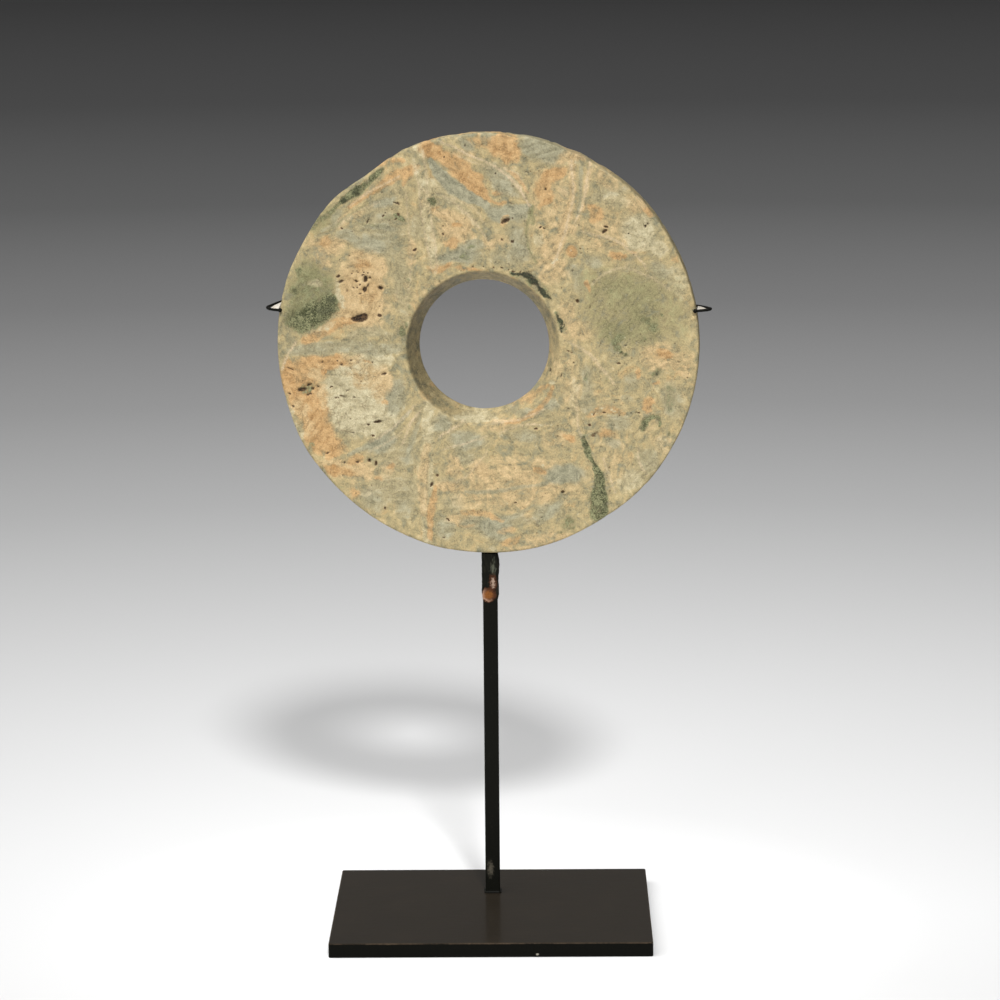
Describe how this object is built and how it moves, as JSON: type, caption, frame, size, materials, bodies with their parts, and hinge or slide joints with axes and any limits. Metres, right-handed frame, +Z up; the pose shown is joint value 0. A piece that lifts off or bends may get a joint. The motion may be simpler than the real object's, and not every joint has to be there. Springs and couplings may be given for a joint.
{
  "type": "jade bi disc",
  "caption": "Flat round jade disc with a tapered off-centre hole, held upright by thin bent rods on a square post welded to a rectangular steel plate.",
  "frame": {"origin": "middle of the base plate's underside, on the surface it stands on", "axes": "+Z up, the disc's front face towards -Y, +X to the right as seen from the front"},
  "size_m": [0.1952, 0.1142, 0.348],
  "materials": {
    "jade": "smooth, softly polished, mottled tan, grey-green and ochre with dark green patches",
    "browned_steel": "satin dark brown",
    "blackened_steel": "satin black, rough where brazed",
    "pale_pad": "matt pale"
  },
  "bodies": {
    "root": {"bi_disc": "jade", "base_plate": "browned_steel", "post": "blackened_steel", "left_arm": "blackened_steel", "right_arm": "blackened_steel", "left_pad": "pale_pad", "right_pad": "pale_pad"}
  },
  "joints": []
}
